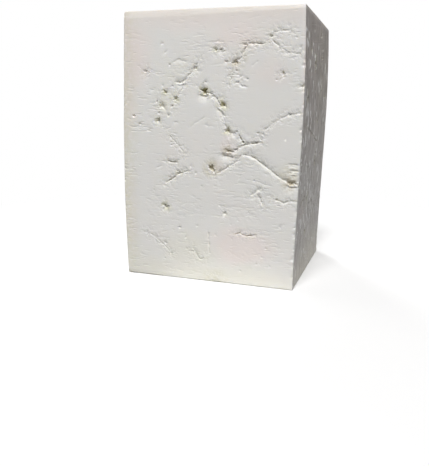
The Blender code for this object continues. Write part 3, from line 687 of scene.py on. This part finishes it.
def relief_of(points, name):
    """How far points of a side lie outside its marks, and how deep they sink.

    The distances are three: to the main marks and flecks, to the fine marks and to the crumbly patches.
    """
    points = in_table(points, name)
    main, fine, crumbles, flecks = marks_of(name)
    gaps, deep = [], []
    for cracks, pits in (main, fine):
        crack_gap, crack_depth = deepest(points, cracks, crack_relief)
        pit_gap, pit_depth = deepest(points, pits, pit_relief)
        gaps.append(np.minimum(crack_gap, pit_gap))
        deep.append(np.maximum(crack_depth, pit_depth))
    patch_gap, worn = deepest(points, crumbles, crumble_relief)
    if flecks:
        fleck_gap, proud = deepest(points, flecks, fleck_relief)
        gaps[0] = np.minimum(gaps[0], fleck_gap)
        worn = worn + SKIN_SINK - proud
    return (*gaps, patch_gap), sum(deep) + worn


def drift(x, z, layer):
    """Two smooth noises at a place, each from -1 to 1."""
    place = Vector((x, z, layer))
    return Vector((noise.noise(place), noise.noise(place + Vector((0, 0, DRIFT_GAP)))))


def patches(points, areas):
    """How strongly each point lies in the areas, from 0 to 1. The areas have soft, uneven rims."""
    strength = np.zeros(len(points))
    wander = 2.5 * np.array([drift(x / 9, z / 9, 1.5) for x, z in points])
    for along, up, half_width, half_height, most in areas:
        radius = np.hypot(*((points + wander - (along, up)) / (half_width, half_height)).T)
        strength = np.maximum(strength, most * np.clip(1.7 - 1.4 * radius, 0, 1))
    return strength


def stained(points, name):
    """How near each point is to cracks and pits, how stained by whey, and how brown the stain is."""
    cracks, pits = marks_of(name)[0]
    points = in_table(points, name)
    near, stain, brown = np.zeros(len(points)), np.zeros(len(points)), np.zeros(len(points))
    for crack in cracks:
        gap = from_line(points, crack.line)[0]
        near = np.maximum(near, np.clip(1.1 - gap / 4, 0, 1))
        stain = np.maximum(stain, 0.3 * min(crack.slit, 1) * np.clip(1 - gap / 1.6, 0, 1))
    for pit in pits:
        gap = np.hypot(*(points - (pit.along, pit.up)).T)
        near = np.maximum(near, np.clip(1.2 - gap / (3 + pit.half_width), 0, 1))
        strength = min(max((pit.depth - 0.5) / 0.9, 0.25), 1)
        stain = np.maximum(stain, strength * np.clip(1.25 - gap / (1.6 * pit.half_width), 0, 1))
        brown = np.maximum(brown, pit.brown * np.clip(1.8 - gap / (2 * pit.half_width), 0, 1))
    if name == "front":
        stain = np.maximum(stain, 0.35 * np.clip((-36 - points[:, 0]) / 7, 0, 1))
    else:
        stain = 0.6 * stain
    if name in BROWN_AREAS:
        tinted = patches(points, BROWN_AREAS[name])
        stain, brown = np.maximum(stain, tinted), np.maximum(brown, 2 * tinted)
    return near, stain, np.minimum(brown, 1)


def stray(points, reach):
    """Points moved about by smooth noise, which makes the lips of the marks ragged."""
    moved = points.copy()
    for i, (x, z) in enumerate(points):
        moved[i] += reach * (drift(x / 2.2, z / 2.2, 0.5) + 0.6 * drift(x / 0.8, z / 0.8, 7.5))
    return moved


def numbers(items, field, width):
    """A field of a mesh's items as an array."""
    values = np.empty(len(items) * width, np.float32)
    items.foreach_get(field, values)
    return values.reshape(-1, width).astype(float)


def subdivide(items, kind, chosen, cuts):
    """Divides the chosen edges or faces of the mesh that is in object mode."""
    bpy.ops.object.mode_set(mode="EDIT")
    bpy.ops.mesh.select_mode(type=kind)
    bpy.ops.mesh.select_all(action="DESELECT")
    bpy.ops.object.mode_set(mode="OBJECT")
    items.foreach_set("select", chosen)
    bpy.ops.object.mode_set(mode="EDIT")
    bpy.ops.mesh.subdivide(number_cuts=cuts)
    bpy.ops.object.mode_set(mode="OBJECT")


def round_edges(block, shape):
    """Rounds the box's edges, each group by its own width."""
    layer = block.data.attributes.new("bevel_weight_edge", "FLOAT", "EDGE")
    for edge in block.data.edges:
        middle = sum((block.data.vertices[i].co for i in edge.vertices), Vector()) / 2 / MM
        level = round((middle.z - LOW[2]) / SIZE[2], 1)
        front = shape.left_round if middle.x < 0 else shape.cut_round
        upright = shape.back_round if middle.y > 0 else front
        top = shape.back_round if middle.x < LOW[0] + 1 or middle.y > HIGH[1] - 1 else shape.top_round
        width = {0: shape.base_round, 1: top}.get(level, upright)
        layer.data[edge.index].value = width / shape.back_round
    rounding = block.modifiers.new("rounded edges", "BEVEL")
    rounding.limit_method = "WEIGHT"
    rounding.width = shape.back_round
    rounding.segments = 5
    bpy.ops.object.modifier_apply(modifier=rounding.name)


def divide(block, shape):
    """Divides the plain sides evenly along each axis."""
    for axis in range(3):
        ends = numbers(block.data.vertices, "co", 3) / MM
        pairs = np.empty(len(block.data.edges) * 2, np.int32)
        block.data.edges.foreach_get("vertices", pairs)
        runs = np.abs(np.diff(ends[pairs.reshape(-1, 2)], axis=1)[:, 0])
        straight = (runs[:, axis] > SIZE[axis] / 2) & (runs.sum(axis=1) - runs[:, axis] < 0.1)
        subdivide(block.data.edges, "EDGE", straight, round(SIZE[axis] * MM / shape.cell) - 1)


def refine(block):
    """Divides the faces round the marks more finely, in passes that close in on them."""
    for front_margins, other_margins in REFINEMENTS:
        centres = numbers(block.data.polygons, "center", 3) / MM
        normals = numbers(block.data.polygons, "normal", 3)
        chosen = np.zeros(len(centres), bool)
        for name in SIDES:
            along, up, out = side_arrays(name)
            facing = np.flatnonzero(normals @ out > FACING)
            gaps, _ = relief_of(centres[facing] @ np.stack((along, up), axis=1), name)
            margins = front_margins if name == "front" else other_margins
            limits = [(gap, margin) for gap, margin in zip(gaps, margins) if margin is not None]
            close = np.any([gap < margin for gap, margin in limits], axis=0)
            if name == "front" and front_margins[2] is not None:
                close |= centres[facing, 2] > HIGH[2] - TOP_BAND
            chosen[facing] = close
        subdivide(block.data.polygons, "FACE", chosen, 1)


def carve(block, shape):
    """Sinks the marks into the sides, and keeps how far each point sank and what its colours are."""
    places = numbers(block.data.vertices, "co", 3) / MM
    layers = {layer: np.zeros(len(places)) for layer in LAYERS[:-1]}
    for name in SIDES:
        along, up, out = side_arrays(name)
        below = (places @ out).max() - places @ out
        near = np.flatnonzero(below < MARK_REACH)
        points = places[near] @ np.stack((along, up), axis=1)
        _, depth = relief_of(stray(points, shape.ragged / MM), name)
        push = np.where(depth < 0, depth, np.maximum(depth * shape.relief - below[near], 0))
        places[near] -= push[:, None] * out
        layers["hollow"][near] = np.maximum(layers["hollow"][near], push)
        if marks_of(name)[3]:
            layers["fleck"][near] = np.clip((SKIN_SINK - depth) / FLECK_FADE, 0, 1)
        close = near[below[near] < COLOUR_REACH]
        points = places[close] @ np.stack((along, up), axis=1)
        for layer, values in zip(("near", "stain", "brown"), stained(points, name)):
            layers[layer][close] = np.maximum(layers[layer][close], values)
        for layer, areas in (("smooth", SMOOTH_AREAS), ("pink", PINK_AREAS), ("cream", CREAM_AREAS)):
            if name in areas:
                layers[layer][close] = patches(points, areas[name])
    x, y, z = places.T
    # The skin's strength: none on the cut face, full on the right side, where the dark skin colour is
    # painted shade as well as skin, and weaker on the other sides.
    layers["skin"] = np.clip((y - LOW[1] - layers["hollow"]) / 0.8 - 0.2, 0, 1)
    layers["skin"] *= np.where(x > HIGH[0] - 2, 1, SKIN_AND_SHADE_ELSEWHERE)
    # The skin fades out under the top edge and is weaker towards the base: the lighter foot is painted
    # light thrown up from below.
    layers["skin"] *= np.clip((HIGH[2] - z) / 1.2, 0, 1) * np.clip(0.5 + z / 36, 0, 1)
    block.data.vertices.foreach_set("co", (places * MM).astype(np.float32).ravel())
    for layer, values in layers.items():
        attribute = block.data.attributes.new(layer, "FLOAT", "POINT")
        attribute.data.foreach_set("value", values.astype(np.float32))


def bow(block, shape):
    """Gives the sides their slight bow and the top its dome."""
    places = numbers(block.data.vertices, "co", 3)
    x, y, z = places.T
    width, depth, height = SIZE * MM
    across, deep, share = 2 * x / width, 2 * y / depth, np.clip(z / height, 0, 1)
    bulge = np.sin(pi * share) * (1 - across**2)
    left = shape.left_bow * (1 - np.sin(pi * share**0.82))
    right = shape.right_bow * (1 - np.sin(pi * share**1.75))
    band = (2.6 - 0.9 * across) * MM
    lean = shape.top_lean * np.clip(1 - (height - z) / band, 0, 1) * np.clip(-deep, 0, 1)
    x = x - across * np.where(x < 0, left, right)
    y = y - deep * np.where(y < 0, shape.front_bow, shape.back_bow) * (1 - bulge) + lean
    x = np.clip(x, LOW[0] * MM, HIGH[0] * MM)
    y = np.clip(y, LOW[1] * MM, (HIGH[1] - 0.02) * MM)
    z = z - shape.top_dome * (across**2 + deep**2) / 2 * share**6
    block.data.vertices.foreach_set("co", np.stack((x, y, z), axis=1).astype(np.float32).ravel())


def roughen(block, name, size, height):
    """Sinks the sides unevenly by a cloud texture. The base stays flat."""
    texture = bpy.data.textures.new(name, "CLOUDS")
    texture.noise_scale = size
    texture.noise_depth = 2
    uneven = block.modifiers.new(name, "DISPLACE")
    uneven.texture = texture
    uneven.texture_coords = "LOCAL"
    uneven.mid_level = 1.0
    uneven.strength = height
    uneven.vertex_group = "sides"
    bpy.ops.object.modifier_apply(modifier=uneven.name)


def fresh_nodes(owner):
    """The emptied node tree of a material or world."""
    owner.use_nodes = True
    owner.node_tree.nodes.clear()
    return owner.node_tree


def add(tree, kind, inputs=None, **settings):
    """A node with its settings and inputs. An input may be a value or another node's output."""
    node = tree.nodes.new(kind)
    for name, value in settings.items():
        setattr(node, name, value)
    for name, value in (inputs or {}).items():
        if isinstance(value, bpy.types.NodeSocket):
            tree.links.new(value, node.inputs[name])
        else:
            node.inputs[name].default_value = value
    return node


def calc(tree, operation, *values, clamp=False):
    """The output of a Math node."""
    node = add(tree, "ShaderNodeMath", dict(enumerate(values)), operation=operation, use_clamp=clamp)
    return node.outputs[0]


def product(tree, value, *factors):
    """The product of a value and its factors."""
    for factor in factors:
        value = calc(tree, "MULTIPLY", value, factor)
    return value


def spread(tree, value, low, high):
    """The value taken from the range low to high into 0 to 1, smoothly."""
    inputs = {"Value": value, "From Min": low, "From Max": high}
    return add(tree, "ShaderNodeMapRange", inputs, interpolation_type="SMOOTHSTEP").outputs[0]


def mixed(tree, share, first, second):
    """Two colours mixed."""
    node = add(tree, "ShaderNodeMix", {0: share}, data_type="RGBA")
    for socket, value in ((node.inputs[6], first), (node.inputs[7], second)):
        if isinstance(value, bpy.types.NodeSocket):
            tree.links.new(value, socket)
        else:
            socket.default_value = value
    return node.outputs[2]


def clouds(tree, vector, scale, detail=3.0, stretch=None):
    """Smooth noise on points in millimetres, stretched along the axes if asked."""
    if stretch:
        vector = add(tree, "ShaderNodeMapping", {"Vector": vector, "Scale": stretch}).outputs[0]
    inputs = {"Vector": vector, "Scale": scale, "Detail": detail}
    return add(tree, "ShaderNodeTexNoise", inputs).outputs["Fac"]


def curd_colour(tree, place, layer, finish):
    """White curd with pink and creamy patches, a streaked and flecked skin, and whey in the hollows. The
    skin's dark colour is partly painted shade, and the pale flecks are partly painted highlights.
    """
    blotch = clouds(tree, place, 0.5, 3.0)
    cloudy = spread(tree, clouds(tree, place, 0.03, 2.0), 0.42, 0.7)
    pink = calc(tree, "ADD", layer["pink"], product(tree, cloudy, 0.15), clamp=True)
    colour = mixed(tree, pink, finish.curd, finish.pink)
    cream = calc(tree, "MULTIPLY", layer["cream"], 0.9, clamp=True)
    colour = mixed(tree, cream, colour, finish.cream)

    # The skin's streaked colour, darker than the curd: the skin's own tone and painted shade, strongest on
    # the right side.
    broad = spread(tree, clouds(tree, place, 0.05, 3.0), 0.35, 0.65)
    narrow = spread(tree, clouds(tree, place, 1.0, 3.0, (0.36, 0.36, 0.11)), 0.4, 0.65)
    streaks = calc(tree, "ADD", product(tree, broad, 0.15), product(tree, narrow, 0.45))
    streaks = product(tree, calc(tree, "ADD", streaks, 0.5), layer["skin"])
    colour = mixed(tree, streaks, colour, finish.skin_and_shade)
    # Pale flecks over the skin, from noise and from the raised flecks: crumbs of curd, and partly painted
    # highlight where they catch the light.
    flakes = spread(tree, clouds(tree, place, 1.0, 2.0, (0.3, 0.3, 0.14)), 0.60, 0.68)
    flakes = product(tree, flakes, calc(tree, "SUBTRACT", 1.0, layer["smooth"]))
    flakes = product(tree, calc(tree, "MAXIMUM", flakes, layer["fleck"]), layer["skin"])
    colour = mixed(tree, flakes, colour, finish.fleck_and_highlight)

    soaked = product(tree, layer["stain"], spread(tree, blotch, 0.3, 0.62), 0.85)
    stain = mixed(tree, layer["brown"], finish.stain, finish.rust)
    colour = mixed(tree, soaked, colour, stain)
    whey = spread(tree, calc(tree, "ADD", layer["hollow"], product(tree, blotch, 0.6)), 0.8, 2.6)
    deep = mixed(tree, layer["brown"], finish.whey, finish.rust)
    return mixed(tree, product(tree, whey, 0.85), colour, deep)


def curd_height(tree, place, layer, finish):
    """Height of the fine relief in millimetres: grain, knife streaks, nicks, crumbs and skin ridges."""
    cut = calc(tree, "SUBTRACT", 1.0, layer["skin"])
    rough = calc(tree, "SUBTRACT", 1.0, product(tree, layer["smooth"], 0.85))
    drags = clouds(tree, place, 1.0, 3.0, (0.16, 0.16, 1.1))
    grain = clouds(tree, place, 1.6, 4.0)
    height = calc(tree, "ADD", drags, product(tree, grain, 0.7))
    height = product(tree, height, rough, finish.grain / MM)

    level = clouds(tree, place, 1.0, 3.0, (0.24, 0.24, 0.9))
    nick = calc(tree, "ADD", level, product(tree, clouds(tree, place, 0.10, 1.0), 0.45))
    nick = product(tree, spread(tree, nick, 0.78, 0.95), rough, cut, finish.nicks / MM)
    height = calc(tree, "SUBTRACT", height, nick)

    crumb = spread(tree, clouds(tree, place, 0.62, 3.0), 0.42, 0.68)
    crumb = product(tree, crumb, layer["near"], finish.crumbs / MM, cut)
    height = calc(tree, "SUBTRACT", height, crumb)

    ridge = clouds(tree, place, 1.0, 4.0, (0.4, 0.4, 0.9))
    fleck = spread(tree, clouds(tree, place, 1.0, 3.0, (0.5, 0.5, 0.8)), 0.52, 0.72)
    ridge = product(tree, calc(tree, "SUBTRACT", ridge, fleck), finish.ridges / MM, layer["skin"])
    return calc(tree, "ADD", height, ridge), grain


def curd_material(finish):
    """Moist white curd, cut on one side and with a streaked skin on the others. The skin's dark colour is
    partly painted shade.
    """
    material = bpy.data.materials.new("curd")
    tree = fresh_nodes(material)
    place = add(tree, "ShaderNodeTexCoord").outputs["Object"]
    scaled = add(tree, "ShaderNodeVectorMath", {0: place, 1: (1 / MM,) * 3}, operation="MULTIPLY")
    place = scaled.outputs[0]
    layer = {name: add(tree, "ShaderNodeAttribute", attribute_name=name).outputs["Fac"] for name in LAYERS}
    height, grain = curd_height(tree, place, layer, finish)
    bump = add(tree, "ShaderNodeBump", {"Height": height, "Distance": MM, "Strength": 1.0})
    rough = calc(tree, "ADD", product(tree, grain, 0.2), finish.roughness - 0.1)
    shader = add(tree, "ShaderNodeBsdfPrincipled", {
        "Base Color": curd_colour(tree, place, layer, finish), "Roughness": rough,
        "Normal": bump.outputs[0], "Subsurface Weight": finish.translucency,
        "Subsurface Radius": (1.0, 0.9, 0.7), "Subsurface Scale": 1.5 * MM, "IOR": 1.4,
    })
    add(tree, "ShaderNodeOutputMaterial", {"Surface": shader.outputs[0]})
    return material


class CHEESE_OT_block(bpy.types.Operator):
    """Model the block of curd and give it its finish"""

    bl_idname = "cheese.block"
    bl_label = "Model the block"

    def execute(self, context):
        shape, finish = context.scene.curd_shape, context.scene.curd_finish
        bpy.ops.object.select_all(action="DESELECT")
        bpy.ops.mesh.primitive_cube_add(size=1, location=(LOW + HIGH) / 2 * MM, scale=SIZE * MM)
        block = context.object
        block.name = block.data.name = "curd_block"
        bpy.ops.object.transform_apply(location=True, rotation=False, scale=True)
        round_edges(block, shape)
        divide(block, shape)
        refine(block)
        carve(block, shape)
        bow(block, shape)
        heights = numbers(block.data.vertices, "co", 3)[:, 2]
        raised = np.flatnonzero(heights > EVEN_FOOT * MM).tolist()
        block.vertex_groups.new(name="sides").add(raised, 1.0, "REPLACE")
        roughen(block, "swell", SWELL_WIDTH * MM, shape.swell)
        roughen(block, "ripple", RIPPLE_WIDTH * MM, shape.ripple)
        block.vertex_groups.clear()
        bpy.ops.object.shade_smooth()
        block.data.materials.append(curd_material(finish))
        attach(block, "root")
        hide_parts("cheese_block")
        return {"FINISHED"}


def floor_material(look):
    """A pale matt floor that turns plain white away from the block."""
    material = bpy.data.materials.new("pale floor")
    tree = fresh_nodes(material)
    place = add(tree, "ShaderNodeTexCoord").outputs["Object"]
    away = add(tree, "ShaderNodeVectorMath", {0: place}, operation="LENGTH").outputs["Value"]
    inputs = {"Vector": place, "Location": (-0.022, 0, 0), "Scale": (1.4, 1, 1)}
    nearby = add(tree, "ShaderNodeMapping", inputs).outputs[0]
    reach = add(tree, "ShaderNodeVectorMath", {0: nearby}, operation="LENGTH").outputs["Value"]
    bounced = add(tree, "ShaderNodeLightPath").outputs["Is Diffuse Ray"]
    lighting = mixed(tree, spread(tree, reach, FAR_FROM, FAR_TO), look.floor, FAR_FLOOR)
    matt = add(tree, "ShaderNodeBsdfDiffuse", {"Color": mixed(tree, bounced, SEEN_FLOOR, lighting)})
    glow = calc(tree, "SUBTRACT", 1.0, bounced)
    white = add(tree, "ShaderNodeEmission", {"Color": WHITE, "Strength": glow})
    shader = add(tree, "ShaderNodeMixShader", {
        0: spread(tree, away, WHITE_FROM, WHITE_TO), 1: matt.outputs[0], 2: white.outputs[0]})
    add(tree, "ShaderNodeOutputMaterial", {"Surface": shader.outputs[0]})
    return material


def light_room(scene, look):
    """A soft key light from the front, a softer one from behind, and dim light from all round."""
    key = "key", look.key_turn, look.key_height, look.key
    fill = "fill", FILL_TURN, FILL_HEIGHT, look.fill
    for name, turn, height, power in (key, fill):
        towards = Vector((sin(turn) * cos(height), -cos(turn) * cos(height), sin(height)))
        place = Vector((0, 0, SIZE[2] * MM / 2)) + towards * look.key_away
        bpy.ops.object.light_add(type="AREA", location=place)
        light = bpy.context.object
        light.name = name
        light.rotation_euler = towards.to_track_quat("Z", "Y").to_euler()
        light.data.shape = "DISK"
        light.data.size = look.key_width
        light.data.energy = power
    world = bpy.data.worlds.new("room")
    scene.world = world
    tree = fresh_nodes(world)
    seen = add(tree, "ShaderNodeLightPath").outputs["Is Camera Ray"]
    colour = mixed(tree, seen, ROOM_LIGHT, WHITE)
    strength = calc(tree, "ADD", product(tree, seen, 1 - look.ambient), look.ambient)
    ground = add(tree, "ShaderNodeBackground", {"Color": colour, "Strength": strength})
    add(tree, "ShaderNodeOutputWorld", {"Surface": ground.outputs[0]})


class CHEESE_OT_stage(bpy.types.Operator):
    """Set up the floor, the lights and the camera"""

    bl_idname = "cheese.stage"
    bl_label = "Set up the stage"

    def execute(self, context):
        look = context.scene.stage_look
        bpy.ops.object.select_all(action="DESELECT")
        bpy.ops.mesh.primitive_plane_add(size=FLOOR_WIDTH)
        floor = context.object
        floor.name = "floor"
        floor.data.materials.append(floor_material(look))
        light_room(context.scene, look)
        bpy.ops.object.camera_add()
        camera = context.object
        turned = Matrix.Rotation(CAMERA_TURN, 4, "Z") @ Matrix.Rotation(pi / 2 - CAMERA_DOWN, 4, "X")
        turned = turned @ Matrix.Rotation(CAMERA_ROLL, 4, "Z")
        camera.matrix_world = Matrix.Translation(CAMERA_PLACE) @ turned
        camera.data.lens = look.lens
        camera.data.clip_start = 0.01
        context.scene.camera = camera
        context.scene.view_settings.view_transform = "Standard"
        return {"FINISHED"}


class CHEESE_PT_panel(bpy.types.Panel):
    """Lists the cheese's pieces and the stage"""

    bl_idname = "CHEESE_PT_panel"
    bl_label = "Salted White Cheese"
    bl_space_type = "VIEW_3D"
    bl_region_type = "UI"
    bl_category = "Cheese"

    def draw(self, context):
        operators = {"curd_shape": "cheese.block", "stage_look": "cheese.stage"}
        for group in GROUPS:
            box = self.layout.box()
            properties = getattr(context.scene, group)
            for name in properties.bl_rna.properties.keys():
                if name not in ("rna_type", "name"):
                    box.prop(properties, name)
            if group in operators:
                box.operator(operators[group])


GROUPS = {"curd_shape": CurdShape, "curd_finish": CurdFinish, "stage_look": StageLook}
CLASSES = (*GROUPS.values(), CHEESE_OT_block, CHEESE_OT_stage, CHEESE_PT_panel)


def register():
    for cls in CLASSES:
        bpy.utils.register_class(cls)
    for name, group in GROUPS.items():
        setattr(bpy.types.Scene, name, PointerProperty(type=group))


def unregister():
    for name in GROUPS:
        delattr(bpy.types.Scene, name)
    for cls in reversed(CLASSES):
        bpy.utils.unregister_class(cls)


def main():
    register()
    bpy.ops.cheese.block()
    bpy.ops.cheese.stage()
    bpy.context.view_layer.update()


if __name__ == "__main__":
    main()
